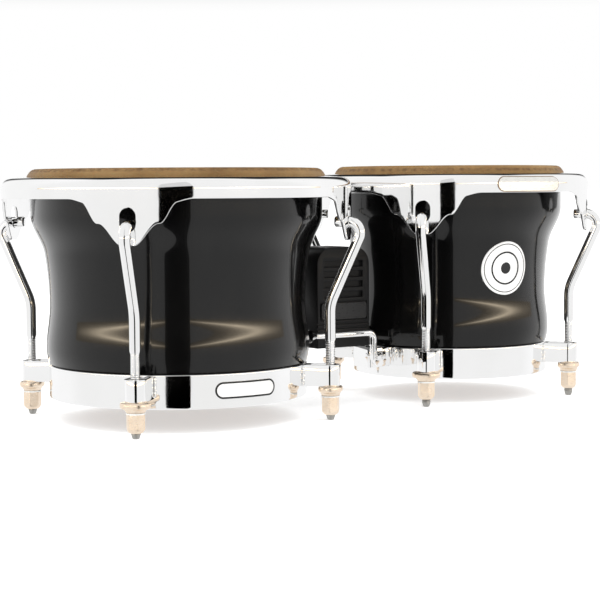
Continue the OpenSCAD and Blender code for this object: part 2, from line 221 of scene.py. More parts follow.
def rounded(corners, n=5):
    """An outline from (x, y, radius) corners, each turned into a small arc."""
    out = []
    count = len(corners)
    for i in range(count):
        x, y, rad = corners[i]
        p = Vector((x, y))
        a = (Vector(corners[i - 1][:2]) - p)
        b = (Vector(corners[(i + 1) % count][:2]) - p)
        if rad <= 0:
            out.append((x, y))
            continue
        half = a.angle(b) / 2
        d = min(rad / tan(half), a.length * 0.49, b.length * 0.49)
        p0, p1 = p + a.normalized() * d, p + b.normalized() * d
        for k in range(n + 1):
            t = k / n
            q = p0 * (1 - t) ** 2 + p * 2 * t * (1 - t) + p1 * t * t
            out.append((q.x, q.y))
    return out


def extrude(outline, lo, hi, edge=0.5):
    """A prism of an (x, y) outline between two heights, its rims softened by edge."""
    ins = inset(outline, edge)
    soft = inset(outline, edge * 0.3)
    rows = [[(x, y, lo) for x, y in ins], [(x, y, lo + edge * 0.3) for x, y in soft],
            [(x, y, lo + edge) for x, y in outline], [(x, y, hi - edge) for x, y in outline],
            [(x, y, hi - edge * 0.3) for x, y in soft], [(x, y, hi) for x, y in ins]]
    return grid(rows, caps=True)


def inset(outline, d):
    """The outline moved inwards by d, for one that runs anticlockwise."""
    out = []
    n = len(outline)
    for i in range(n):
        p, q, r = Vector(outline[i - 1]), Vector(outline[i]), Vector(outline[(i + 1) % n])
        u, v = (q - p), (r - q)
        if u.length < 1e-9 or v.length < 1e-9:
            out.append(tuple(q))
            continue
        u.normalize()
        v.normalize()
        nu, nv = Vector((-u.y, u.x)), Vector((-v.y, v.x))
        m = nu + nv
        m = m / max(m.length_squared, 0.4) * 2 if m.length > 1e-6 else nu
        out.append(tuple(q + m * d))
    return out


def sweep(path, radii, steps=28, side=Vector((0, 1, 0)), wave=None, caps=True):
    """A round bar along points in one plane with the normal side. wave(angle, point) adds to the radius."""
    rows = []
    pts = [Vector(p) for p in path]
    for i, p in enumerate(pts):
        t = (pts[min(i + 1, len(pts) - 1)] - pts[max(i - 1, 0)]).normalized()
        n = side.cross(t).normalized()
        row = []
        for k in range(steps):
            a = 2 * pi * k / steps
            r = radii[i] + (wave(a, p) if wave else 0)
            row.append(tuple(p + (n * cos(a) + side * sin(a)) * r))
        rows.append(row)
    return grid(rows, caps=caps)


def move(verts, f):
    return [f(p) for p in verts]


def join(*parts):
    """Several (verts, faces) as one."""
    verts, faces = [], []
    for v, f in parts:
        base = len(verts)
        verts += list(v)
        faces += [tuple(i + base for i in face) for face in f]
    return verts, faces


def outward(verts, faces):
    """The solid with its faces turned outwards."""
    total = 0.0
    for f in faces:
        p = Vector(verts[f[0]])
        for k in range(1, len(f) - 1):
            total += p.dot(Vector(verts[f[k]]).cross(Vector(verts[f[k + 1]])))
    return verts, faces if total > 0 else [tuple(reversed(f)) for f in faces]


def cut(obj, cutters, sharp):
    """Take (verts, faces) solids in millimetres out of a piece for good."""
    mesh = bpy.data.meshes.new("cutter")
    verts, faces = join(*(outward(*c) for c in cutters))
    mesh.from_pydata([(x * MM, y * MM, z * MM) for x, y, z in verts], [], faces)
    tool = bpy.data.objects.new("cutter", mesh)
    bpy.context.scene.collection.objects.link(tool)
    mod = obj.modifiers.new("cut", "BOOLEAN")
    mod.operation = "DIFFERENCE"
    mod.solver = "EXACT"
    mod.use_self = True
    mod.object = tool
    result = bpy.data.meshes.new_from_object(obj.evaluated_get(bpy.context.evaluated_depsgraph_get()))
    obj.modifiers.clear()
    obj.data = result
    bpy.data.objects.remove(tool)
    obj.data.polygons.foreach_set("use_smooth", [True] * len(obj.data.polygons))
    obj.data.set_sharp_from_angle(angle=radians(sharp))


def smooth(t):
    c = min(1.0, max(0.0, t))
    return c * c * (3 - 2 * c)


# ---------------------------------------------------------------- node helpers

def add(nt, kind, settings=(), **inputs):
    """A shader node. settings are its properties; inputs are values or sockets, spaces written as _."""
    n = nt.nodes.new(kind)
    for key, value in dict(settings).items():
        setattr(n, key, value)
    for key, value in inputs.items():
        s = n.inputs[int(key[1:])] if key[0] == "i" and key[1:].isdigit() else n.inputs[key.replace("_", " ")]
        if isinstance(value, bpy.types.NodeSocket):
            nt.links.new(value, s)
        else:
            s.default_value = value
    return n


def material(name, base, metallic=0.0, roughness=0.5, **sockets):
    """A new material, its node tree and its Principled shader."""
    m = bpy.data.materials.new(name)
    m.use_nodes = True
    nt = m.node_tree
    p = nt.nodes["Principled BSDF"]
    p.inputs["Base Color"].default_value = (*base, 1)
    p.inputs["Metallic"].default_value = metallic
    p.inputs["Roughness"].default_value = roughness
    for key, value in sockets.items():
        p.inputs[key.replace("_", " ")].default_value = value
    m.diffuse_color = (*base, 1)
    return m, nt, p


def place_coords(nt, scale=(1, 1, 1)):
    """The object's own coordinates in metres, scaled along its axes."""
    tc = add(nt, "ShaderNodeTexCoord")
    return add(nt, "ShaderNodeMapping", Vector=tc.outputs["Object"], Scale=scale).outputs["Vector"]


def noise(nt, coords, scale, detail=3.0, rough=0.55):
    n = add(nt, "ShaderNodeTexNoise", Vector=coords, Scale=scale, Detail=detail, Roughness=rough)
    return n.outputs["Fac"]


def ramp(nt, fac, *stops):
    """A colour ramp from (position, colour or grey) stops."""
    n = add(nt, "ShaderNodeValToRGB", Fac=fac)
    e = n.color_ramp.elements
    while len(e) < len(stops):
        e.new(0.5)
    for el, (pos, c) in zip(e, stops):
        el.position = pos
        el.color = (*c, 1) if isinstance(c, tuple) else (c, c, c, 1)
    return n.outputs["Color"]


def mix(nt, fac, a, b, blend="MIX"):
    n = add(nt, "ShaderNodeMix", {"data_type": "RGBA", "blend_type": blend})
    for s, v in ((n.inputs[0], fac), (n.inputs[6], a), (n.inputs[7], b)):
        if isinstance(v, bpy.types.NodeSocket):
            nt.links.new(v, s)
        else:
            s.default_value = v if s is n.inputs[0] else (*v, 1)
    return n.outputs[2]


def bump(nt, p, height, strength, distance):
    n = add(nt, "ShaderNodeBump", Strength=strength, Distance=distance, Height=height)
    nt.links.new(n.outputs["Normal"], p.inputs["Normal"])


def calc(nt, operation, *values):
    """A Math node's result from numbers or sockets."""
    inputs = {f"i{k}": value for k, value in enumerate(values)}
    return add(nt, "ShaderNodeMath", {"operation": operation}, **inputs).outputs[0]


def feed(p, **sockets):
    """Link sockets to a shader's inputs, spaces written as _."""
    for key, value in sockets.items():
        p.id_data.links.new(value, p.inputs[key.replace("_", " ")])


# ---------------------------------------------------------------- materials

def chrome_material():
    """Polished plating: faint waviness, and a slight haze that varies over the metal."""
    m, nt, p = material("polished_chrome", (0.93, 0.93, 0.93), 1.0, 0.05)
    c = place_coords(nt)
    haze = ramp(nt, noise(nt, c, 35, 4), (0.35, 0.035), (0.75, 0.085))
    tint = ramp(nt, noise(nt, c, 18, 3), (0.3, (0.90, 0.90, 0.895)), (0.7, (0.95, 0.95, 0.955)))
    feed(p, Roughness=haze, Base_Color=tint)
    bump(nt, p, noise(nt, c, 55, 2), 0.05, 0.0008)
    return m


def lacquer_material():
    """Black high-gloss lacquer: deep black under a clear coat, with slight orange peel."""
    m, nt, p = material("black_lacquer", (0.003, 0.003, 0.0032), 0.0, 0.2, Specular_IOR_Level=0.12, IOR=1.5,
                        Coat_Weight=1.0, Coat_IOR=1.34, Coat_Roughness=0.03)
    c = place_coords(nt)
    haze = ramp(nt, noise(nt, c, 60, 5), (0.4, 0.17), (0.8, 0.24))
    cloud = noise(nt, place_coords(nt, (1, 1, 0.25)), 45, 4)
    tone = ramp(nt, cloud, (0.35, (0.002, 0.002, 0.0022)), (0.7, (0.004, 0.0038, 0.0036)))
    feed(p, Roughness=haze, Base_Color=tone)
    bump(nt, p, noise(nt, c, 130, 2), 0.03, 0.0006)
    return m


def bare_wood_material():
    """The unlacquered inside of the shell: pale wood with its grain upright."""
    m, nt, p = material("bare_wood", (0.42, 0.27, 0.15), 0.0, 0.6)
    rings = noise(nt, place_coords(nt, (1, 1, 0.12)), 90, 6, 0.65)
    pores = noise(nt, place_coords(nt, (1, 1, 0.05)), 700, 2)
    grain = ramp(nt, rings, (0.3, (0.27, 0.155, 0.078)), (0.55, (0.43, 0.275, 0.15)),
                 (0.8, (0.55, 0.38, 0.22)))
    dark = ramp(nt, pores, (0.55, 0.0), (0.75, 0.6))
    feed(p, Base_Color=mix(nt, dark, grain, (0.2, 0.11, 0.055)))
    bump(nt, p, pores, 0.25, 0.0005)
    return m


def skin_material():
    """Skin: mottled tan with dark specks, satin, slightly translucent, and soiled along its top edge."""
    m, nt, p = material("buffalo_skin", (0.25, 0.15, 0.06), 0.0, 0.5, Specular_IOR_Level=0.22,
                        Subsurface_Weight=0.06, Subsurface_Scale=0.003)
    c = place_coords(nt)
    cloud = noise(nt, c, 22, 5, 0.6)
    hide = ramp(nt, cloud, (0.3, (0.175, 0.094, 0.030)), (0.5, (0.25, 0.146, 0.052)),
                (0.75, (0.32, 0.205, 0.086)))
    specks = add(nt, "ShaderNodeTexVoronoi", {"feature": "F1"}, Vector=c, Scale=650.0).outputs["Distance"]
    dots = ramp(nt, specks, (0.0, 1.0), (0.28, 0.0))
    patches = ramp(nt, noise(nt, c, 55, 4), (0.45, 0.0), (0.68, 0.75))
    flecked = mix(nt, calc(nt, "MULTIPLY", dots, patches), hide, (0.10, 0.05, 0.02))
    height = add(nt, "ShaderNodeSeparateXYZ", Vector=place_coords(nt)).outputs["Z"]
    over = calc(nt, "MULTIPLY_ADD", height, 100.0, -18.0)
    rim = ramp(nt, over, (0.30, 0.0), (0.42, 1.0), (0.585, 1.0), (0.60, 0.15))
    blots = ramp(nt, noise(nt, c, 240, 4), (0.38, 0.15), (0.62, 0.95))
    colour = mix(nt, calc(nt, "MULTIPLY", rim, blots), flecked, (0.12, 0.062, 0.022))
    feed(p, Base_Color=colour, Roughness=ramp(nt, cloud, (0.3, 0.42), (0.7, 0.58)))
    bump(nt, p, calc(nt, "ADD", noise(nt, c, 420, 4, 0.7), specks), 0.35, 0.0004)
    return m


def copper_material():
    """Pale copper plating, satin, with fine turning marks round the upright axis."""
    m, nt, p = material("pale_copper_plate", (0.95, 0.80, 0.64), 1.0, 0.3)
    cloud = noise(nt, place_coords(nt), 120, 4)
    tone = ramp(nt, cloud, (0.3, (0.90, 0.74, 0.58)), (0.7, (0.97, 0.83, 0.68)))
    marks = noise(nt, place_coords(nt, (0.15, 0.15, 1)), 2600, 2)
    feed(p, Base_Color=tone, Roughness=ramp(nt, marks, (0.3, 0.24), (0.7, 0.38)))
    bump(nt, p, marks, 0.12, 0.0002)
    return m


def brushed_material(name, base, dark, light, sheen, strength):
    """Metal of the hoop badge, brushed along its length. sheen is the range of its roughness."""
    m, nt, p = material(name, base, 1.0, 0.3)
    marks = noise(nt, place_coords(nt, (0.1, 0.1, 1)), 2400, 2)
    feed(p, Base_Color=ramp(nt, marks, (0.3, dark), (0.7, light)),
         Roughness=ramp(nt, marks, (0.3, sheen[0]), (0.7, sheen[1])))
    bump(nt, p, marks, strength, 0.0002)
    return m


def steel_material():
    """Plain steel of the flesh hoops and the rods' bare tips."""
    m, nt, p = material("plain_steel", (0.42, 0.41, 0.39), 1.0, 0.4)
    marks = noise(nt, place_coords(nt, (1, 1, 3)), 500, 3)
    feed(p, Roughness=ramp(nt, marks, (0.3, 0.3), (0.7, 0.5)))
    bump(nt, p, marks, 0.2, 0.0003)
    return m


def plastic_material(name, base, roughness, grain=900, strength=0.15, specular=0.5):
    """Moulded plastic or enamel with a fine even texture."""
    m, nt, p = material(name, base, 0.0, roughness, Specular_IOR_Level=specular)
    c = place_coords(nt)
    texture = noise(nt, c, grain, 3, 0.6)
    lo, hi = tuple(v * 0.85 for v in base), tuple(min(1.0, v * 1.12) for v in base)
    feed(p, Base_Color=ramp(nt, noise(nt, c, 70, 3), (0.3, lo), (0.7, hi)),
         Roughness=ramp(nt, texture, (0.3, roughness * 0.85), (0.7, min(1.0, roughness * 1.2))))
    bump(nt, p, texture, strength, 0.0002)
    return m


MATERIALS = {
    "chrome": chrome_material(),
    "lacquer": lacquer_material(),
    "wood": bare_wood_material(),
    "skin": skin_material(),
    "copper": copper_material(),
    "steel": steel_material(),
    "nylon": plastic_material("white_nylon", (0.86, 0.86, 0.84), 0.35, 500, 0.05),
    "plastic": plastic_material("black_moulded_plastic", (0.009, 0.009, 0.0095), 0.34, specular=0.16),
    "enamel": plastic_material("white_enamel", (0.87, 0.86, 0.84), 0.14, 300, 0.02),
    "ink": plastic_material("black_enamel", (0.01, 0.01, 0.011), 0.2, 300, 0.02),
    "plate": plastic_material("dark_grey_plate", (0.02, 0.02, 0.021), 0.3, 400, 0.05, 0.25),
    "bronze": brushed_material("dark_bronze", (0.30, 0.20, 0.12), (0.24, 0.155, 0.09), (0.36, 0.25, 0.16),
                               (0.28, 0.45), 0.1),
    "satin": brushed_material("satin_silver", (0.86, 0.85, 0.82), (0.82, 0.81, 0.78), (0.90, 0.89, 0.86),
                              (0.24, 0.36), 0.06),
}


# ---------------------------------------------------------------- shells, rings and heads

KNOTS = ((152.0, 0.0, 0.0), (124.0, 9.8, -0.16), (86.0, 13.0, 0.0), (54.0, 10.2, 0.0), (42.5, 12.0, -0.25))


def shell_inset(z):
    """How far the shell's wall lies inside its top radius at a height."""
    if z >= KNOTS[0][0]:
        return 0.0
    for a, b in zip(KNOTS, KNOTS[1:]):
        if z >= b[0] or b is KNOTS[-1]:
            h = b[0] - a[0]
            t = (z - a[0]) / h
            return ((2 * t ** 3 - 3 * t ** 2 + 1) * a[1] + (t ** 3 - 2 * t ** 2 + t) * a[2] * h
                    + (3 * t ** 2 - 2 * t ** 3) * b[1] + (t ** 3 - t ** 2) * b[2] * h)


def make_shell(d):
    """Lathe-turned shell, lacquered outside and bare inside."""
    r, top = d.r, HEAD_TOP - SKIN - 0.05
    outside = [(r - 9, top - 3.6), (r - 8.2, top - 1.2), (r - 7, top - 0.2), (r - 5.6, top),
               (r - 3.4, top - 0.6), (r - 1.6, top - 1.9), (r - 0.5, top - 3.6), (r, top - 6)]
    outside += [(r - shell_inset(z), z) for z in (170, 160, 154)]
    z = 152.0
    while z > 43.2:
        outside.append((r - shell_inset(z), z))
        z -= 1.6
    outside += [(r - 14.65, 42.2), (r - 14.65, 20.4), (r - 15.1, 20.05), (r - 19.2, 20.05)]
    inside = [(r - shell_inset(z) - SHELL_WALL, z) for z in range(44, 178, 6)]
    outline = outside + inside
    verts, faces = lathe(outline, 256)
    n = len(outline)
    inner = {n - 1 - k for k in range(len(outside) - 1, n)}
    picks = [1 if (k % n) in inner else 0 for k in range(len(faces))]
    return piece(d.name + "_shell_turned", move(verts, d.place), faces, ["lacquer", "wood"], ROOT,
                 [d.name + "_shell"], 30, picks)


def make_ring(d):
    """Bottom ring with rolled edges and its lip under the shell."""
    r, z0, z1 = d.ring, RING_Z, RING_Z + RING_H
    outline = rounded([(r - 9, z0, 0.6), (r, z0, 2.2), (r, z1, 1.0), (r - SHEET, z1, 1.0),
                       (r - SHEET, z0 + 2.5, 0.8), (r - 9, z0 + 2.5, 0.6)], 6)
    verts, faces = lathe(outline, 256)
    return piece(d.name + "_ring_rolled", move(verts, d.place), faces, ["chrome"], ROOT,
                 [d.name + "_bottom_ring"])


def make_flesh_hoop(d):
    r0, r1, top = d.r + 3.8, d.r + 8.1, HOOP_TOP - SHEET - 1.2
    outline = rounded([(r0, top - 7.5, 1.5), (r1, top - 7.5, 1.5), (r1, top, 1.8), (r0, top, 1.2)], 4)
    verts, faces = lathe(outline, 160)
    return piece(d.name + "_flesh_hoop_ring", move(verts, d.place), faces, ["steel"], d.hoop_body,
                 [d.name + "_flesh_hoop"])


def make_head(d):
    """Skin: a flat top, a soft uneven rolled edge, and the collar, whose foot follows the hoop."""
    r, top, t = d.r, HEAD_TOP, SKIN
    outer = [(k * (r - 6) / 14, top) for k in range(1, 15)]
    outer += [(r - 3.4, top - 0.1), (r - 1.6, top - 0.7), (r - 0.2, top - 1.7), (r + 0.8, top - 2.9),
              (r + 1.8, top - 4.4), (r + 2.6, top - 6), (r + 3.2, top - 8), (r + 3.4, top - 10)]
    foot = HOOP_BOTTOM + 3.5
    outer += [(r + 3.4, z) for z in (172, foot + 0.4)]
    inner = [(r + 3.1, foot), (r + 3.4 - t, foot), (r + 3.4 - t, 172), (r + 3.4 - t, top - 8),
             (r + 0.6, top - 5.8), (r - 0.7, top - 3.4), (r - 3.1, top - t - 0.35), (r - 7, top - t),
             (r / 2, top - t)]
    steps = 200
    rows = []
    for i in range(steps):
        a = 2 * pi * i / steps
        wob = 0.12 * sin(3 * a + 1) + 0.09 * sin(7 * a) + 0.06 * sin(12 * a + 2)
        row = []
        for rad, z in outer + inner:
            edge = smooth((rad - (r - 12)) / 12) * smooth((top - z) / 3) * smooth((z - 176) / 3)
            rr = rad + wob * edge
            row.append((rr * cos(a), rr * sin(a), z))
        rows.append(row[::-1])
    verts, faces = grid(rows, across_closed=False, along_closed=True)
    n = len(rows[0])
    for centre_z, ring, turn in ((top, n - 1, 1), (top - t, 0, -1)):
        verts.append((0, 0, centre_z))
        c = len(verts) - 1
        faces += [(c, i * n + ring, ((i + 1) % steps) * n + ring)[::turn] for i in range(steps)]
    head = piece(d.name + "_skin", move(verts, d.place), faces, ["skin"], None,
                 [d.name + "_head"], 50)
    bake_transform(head)
    return head


# ---------------------------------------------------------------- hoops

def hem_drop(s):
    """How far the hoop's lower edge hangs below its band, at a distance across the lug's radius."""
    flare = smooth((44.5 - abs(s)) / 16.5)
    step = smooth((33.4 - abs(s)) / 11.2)
    lobe = smooth((21.3 - abs(s)) / 17.1)
    return 3.2 * flare + 13.5 * step + 15 * lobe


def hoop_section(d, a):
    """The hoop's section at an angle from the nearest lug: hem, outside, shoulder, lip and inside."""
    w = d.hoop
    zb = HOOP_BOTTOM - hem_drop(w * sin(radians(a)))
    q, t, lip = SHOULDER, SHEET, d.lip
    zs = HOOP_TOP - 0.04 * (w - lip)
    out = arc(w - 0.7, zb + 0.7, 0.7, -90, 0, 4)
    out += [(w, zb + 2.5), (w, (zb + zs - q) / 2), (w, zs - q - 0.6)]
    out += arc(w - q, zs - q, q, 0, 87.7, 14)
    out += [(w - q - 1.5, zs + 0.24), ((w - q) * 0.5 + lip * 0.5, (zs + HOOP_TOP) / 2),
            (lip + 2.2, HOOP_TOP - 0.06)]
    out += arc(lip + 1.0, HOOP_TOP - 1.0, 1.0, 86, 180, 7)
    out += arc(lip + 0.6, HOOP_TOP - t + 0.6, 0.6, 180, 270, 2)
    out += arc(w - q, zs - q, q - t, 88, 0, 6)
    out += [(w - t, (zb + zs - q) / 2), (w - t, zb + 2)]
    out += arc(w - t + 0.7, zb + 0.7, 0.7, 180, 270, 3)[:-1]
    return out


def lug_spread():
    """Angles from the middle of a lug, close together over the ear and wider on the plain band."""
    near = [i * 0.5 for i in range(-48, 49)]
    far = [24 + i * 1.75 for i in range(1, 13)]
    return [-a for a in reversed(far)] + near + far[:-1]


def slot_cutter(d, n):
    """A prism along the radius with the slot's outline, flared at both faces for a softened rim."""
    half, lo, hi = 5.8, 142.4, 158.8
    outline = []
    for start, centre in ((0, hi - half), (pi, lo + half)):
        for a in [start + pi * i / 20 for i in range(21)]:
            outline.append((half * cos(a), centre + half * sin(a)))
    mid = (lo + hi) / 2
    back = d.hoop - SHEET
    rows = []
    for u, grow in ((d.hoop + 4, 4.4), (d.hoop, 0.4), (d.hoop - 0.4, 0.0), (back + 0.4, 0.0), (back, 0.4),
                    (back - 4, 4.4)):
        row = []
        for x, z in outline:
            centre = hi - half if z > mid else lo + half
            e = Vector((x, z - centre))
            e = e + e.normalized() * grow
            row.append((u, e.x, e.y + centre))
        rows.append(row[::-1])
    verts, faces = grid(rows, caps=True)
    return d.on_lug(n, verts), faces


def make_hoop(d):
    """Pressed sheet hoop: one swept skin with four ears, their slots cut through."""
    rows = []
    for k in range(4):
        for a in lug_spread():
            phi = radians(90 * k + 45 + a + d.turn)
            rows.append([(r * cos(phi), r * sin(phi), z) for r, z in reversed(hoop_section(d, a))])
    verts, faces = grid(rows, along_closed=True)
    hoop = piece(d.name + "_hoop_pressed", move(verts, d.place), faces, ["chrome"], d.hoop_body,
                 [d.name + "_hoop"], 38)
    cut(hoop, [slot_cutter(d, n) for n in range(1, 5)], 38)
    return hoop


# ---------------------------------------------------------------- rods, nuts and washers

def rod_path(d):
    """(u, z) points and radii of a tension rod, from its tip up through the kink and over the hook."""
    foot = -d.lift
    hook_r, lean, hook_len, kink_z, kink_r = 8.5, radians(25), 9.0, 86.0, 30.0
    bend_u, bend_z = d.hoop - SHEET / 2 + 0.5, HOOK_Z - hook_r
    down_u, down_z = bend_u + hook_r * cos(lean), bend_z - hook_r * sin(lean)
    slope = atan2(down_u - d.lug, down_z - kink_z)
    reach = kink_r * tan(slope / 2)
    path = [(0, foot, 1.5), (0, foot + 0.15, 2.1), (0, foot + 0.6, 2.5), (0, foot + 1.5, 2.8),
            (0, foot + 2.8, 3.15)]
    z = foot + 3.0
    while z < 58.5:
        path.append((0, z, 3.3))
        z += PITCH / 8
    path += [(0, 59.2, 3.6), (0, 60.2, 3.9), (0, 61.2, ROD_R), (0, 68, ROD_R)]
    path = [(d.lug + u, z, r) for u, z, r in path]
    for i in range(13):
        a = slope * i / 12
        path.append((d.lug + kink_r * (1 - cos(a)), kink_z - reach + kink_r * sin(a), ROD_R))
    length = hypot(down_u - d.lug, down_z - kink_z)
    for i in range(1, 8):
        s = reach + (length - reach) * i / 8
        path.append((d.lug + s * sin(slope), kink_z + s * cos(slope), ROD_R))
    for i in range(21):
        a = -lean + (pi / 2 + lean) * i / 20
        path.append((bend_u + hook_r * cos(a), bend_z + hook_r * sin(a), ROD_R))
    end_u = bend_u - hook_len
    path += [(bend_u - hook_len * 0.5, HOOK_Z, ROD_R), (end_u, HOOK_Z, ROD_R), (end_u - 0.5, HOOK_Z, 3.75),
             (end_u - 0.9, HOOK_Z, 3.3), (end_u - 1.0, HOOK_Z, 2.6)]
    return path


def thread_wave(d):
    """Right-hand thread ridges on the rod's foot."""
    def wave(a, p):
        if not 3.0 - d.lift < p.z < 58.6:
            return 0.0
        turn = (p.z / PITCH - a / (2 * pi)) % 1.0
        fade = min(1.0, (p.z + d.lift - 3.0) / 1.5, (58.6 - p.z) / 1.5)
        return 0.24 * (1 - abs(2 * turn - 1) * 2) * max(0.0, fade)
    return wave


def make_rod(d, n):
    """Tension rod: chromed, with its bare steel tip below the nut."""
    path = rod_path(d)
    verts, faces = sweep([(u, 0, z) for u, z, r in path], [r for u, z, r in path], 24, wave=thread_wave(d))
    picks = [1 if sum(verts[i][2] for i in f) / len(f) < 16 else 0 for f in faces]
    return piece(f"{d.name}_rod_{n}", d.on_lug(n, verts), faces, ["chrome", "steel"], d.hoop_body,
                 [f"{d.name}_tension_rod_{n}"], 60, picks)


def hex_r(a, flats):
    """Distance to the side of a hexagon at an angle in radians."""
    k = (a + pi / 6) % (pi / 3) - pi / 6
    return flats / 2 / cos(k)


def make_nut(d, n):
    """Long hexagonal nut with rounded corners, tapered to a collar round the rod."""
    corner = NUT_FLATS / 2 / cos(pi / 6)
    levels = [(NUT_BOTTOM, 4.0), (NUT_BOTTOM + 0.15, 4.5), (NUT_BOTTOM + 0.5, 4.85)]
    levels += [(NUT_BOTTOM + 0.5 + 2.6 * t, 4.85 + (corner - 4.85) * t ** 0.8)
               for t in (0.2, 0.4, 0.6, 0.8, 1.0)]
    levels += [(z, corner + 1) for z in (8, 10, 12, 14, 16)]
    levels += [(NUT_TOP - 0.6, corner), (NUT_TOP - 0.25, corner - 0.25), (NUT_TOP, corner - 0.8)]
    steps = 96
    rows = []
    for z, limit in levels:
        row = []
        for i in range(steps):
            a = 2 * pi * i / steps
            r = min(hex_r(a, NUT_FLATS), corner - 0.22, limit)
            row.append((r * cos(a), r * sin(a), z))
        rows.append(row)
    rows += [circle(3.7, z, steps) for z in (NUT_TOP, NUT_BOTTOM)]
    verts, faces = grid(rows, along_closed=True)
    return piece(f"{d.name}_nut_{n}_hex", d.on_lug(n, verts, d.lug), faces, ["copper"], f"{d.name}_nut_{n}",
                 [f"{d.name}_tuning_nut_{n}"], 24)


def oval_point(a, w, l):
    """A point of a stadium outline of width w and length l, the long side along y."""
    r, h = w / 2, (l - w) / 2
    x, y = r * cos(a), r * sin(a)
    return x, y + (h if sin(a) >= 0 else -h)


def make_cup_washer(d, n):
    """Oval cup washer: rounded rim above a hollow cone that narrows to the nut."""
    profile = ((0, 12.6, 12.6), (0.3, 13.6, 13.6), (0.8, 14.0, 14.2), (1.8, 14.4, 15.6), (2.4, 15.2, 18.0),
               (2.9, 16.2, 20.6), (3.4, 17.0, 21.5), (4.2, 17.5, 22.0), (5.4, 17.5, 22.0), (6.3, 17.1, 21.6),
               (6.85, 16.2, 20.7))
    levels = [(CUP_Z + h, w, l) for h, w, l in profile] + [(STRAP_Z - 0.03, 14.8, 19.3)]
    steps = 64
    rows = [[(*oval_point(2 * pi * (i + 0.5) / steps, w, l), z) for i in range(steps)] for z, w, l in levels]
    for z in (STRAP_Z - 0.03, CUP_Z):
        rows.append([(*oval_point(2 * pi * (i + 0.5) / steps, 8.6, 8.6), z) for i in range(steps)])
    verts, faces = grid(rows, along_closed=True)
    return piece(f"{d.name}_cup_{n}", d.on_lug(n, verts, d.lug), faces, ["copper"], ROOT,
                 [f"{d.name}_cup_washer_{n}"], 40)


def make_nylon_washers(d):
    """The four thin rings between the nuts and the cup washers."""
    z0, z1 = NUT_TOP + 0.03, CUP_Z - 0.03
    outline = rounded([(4.3, z0, 0.2), (6.8, z0, 0.45), (6.8, z1, 0.45), (4.3, z1, 0.2)], 3)
    verts, faces = lathe(outline, 48)
    verts, faces = join(*((d.on_lug(n, verts, d.lug), faces) for n in range(1, 5)))
    return piece(d.name + "_white_washers", verts, faces, ["nylon"], ROOT,
                 [d.name + "_nylon_washers"])


# ---------------------------------------------------------------- brackets

def strap(half, end, corner, root_r, cy=0.0):
    """Anticlockwise plan of a strap bent into a U about y = cy, from the ring out to its end and back."""
    t = STRAP_T
    seats = [(sqrt(root_r ** 2 - (cy + y) ** 2), cy + y) for y in (-half, half, half - t, t - half)]
    outer = arc(end - corner, cy - half + corner, corner, -90, 0, 12)
    outer += arc(end - corner, cy + half - corner, corner, 0, 90, 12)
    c = max(corner - t, 0.5)
    inner = arc(end - t - c, cy + half - t - c, c, 90, 0, 10)
    inner += arc(end - t - c, cy - half + t + c, c, 0, -90, 10)
    return [seats[0]] + outer + [seats[1], seats[2]] + inner + [seats[3]]


def weld_bead(x, y, z0, z1, r, seed):
    """A vertical weld bead with ripples."""
    path, radii = [], []
    count = 26
    for i in range(count + 1):
        z = z0 + (z1 - z0) * i / count
        end = min(1.0, i / 2.5, (count - i) / 2.5)
        path.append((x + 0.12 * sin(seed + i * 0.9), y + 0.1 * cos(seed * 2 + i * 1.3), z))
        radii.append(r * (0.35 + 0.65 * sqrt(end)) * (1 + 0.1 * sin(i * 1.9 + seed)))
    return sweep(path, radii, 12)


def make_lug_bracket(d, n):
    """U-shaped strap with a half-round end, and its two weld beads on the ring."""
    half = 7.8
    plan = strap(half, d.lug + 7.2, half - 0.01, d.ring + 0.02)
    parts = [extrude(plan, STRAP_Z, STRAP_Z + STRAP_H, 0.45)]
    x = sqrt(d.ring ** 2 - half ** 2) + 0.5
    for s in (-1, 1):
        parts.append(weld_bead(x, s * (half + 0.25), STRAP_Z + 0.6, STRAP_Z + STRAP_H - 0.6, 1.15, n + s))
    verts, faces = join(*parts)
    return piece(f"{d.name}_lug_loop_{n}", d.on_lug(n, verts), faces, ["chrome"], ROOT,
                 [f"{d.name}_lug_bracket_{n}"], 35)


def make_block_bracket(d):
    """Strap that faces the block, its weld bead, and the tab that a support rod's leg is welded into."""
    half = 11.7
    cy = SUPPORT_Y - SUPPORT_R - 0.05 - half
    plan = strap(half, d.ring + 13.5, 3.0, d.ring + 0.02, cy)
    parts = [extrude(plan, STRAP_Z, STRAP_Z + STRAP_H, 0.45)]
    y = cy - half
    x = sqrt(d.ring ** 2 - y ** 2) + 0.5
    parts.append(weld_bead(x, y - 0.25, STRAP_Z + 0.6, STRAP_Z + STRAP_H - 0.6, 1.15, 3))
    leg, lo, hi = d.ring + SUPPORT_LEG, STRAP_Z + STRAP_H - 15, STRAP_Z + STRAP_H
    side = [(d.ring - 3, lo)] + arc(leg - 5, lo + 5, 5, -90, 0, 10) + [(leg, hi), (d.ring - 3, hi)]
    verts, faces = extrude(side, 13.45, 20.0, 0.45)
    parts.append(([(x, 33.45 - h, z) for x, z, h in verts], faces))
    verts, faces = join(*parts)
    return piece(d.name + "_block_loop", move(verts, d.at_block), faces, ["chrome"], ROOT,
                 [d.name + "_block_bracket"], 35)


# ---------------------------------------------------------------- centre block

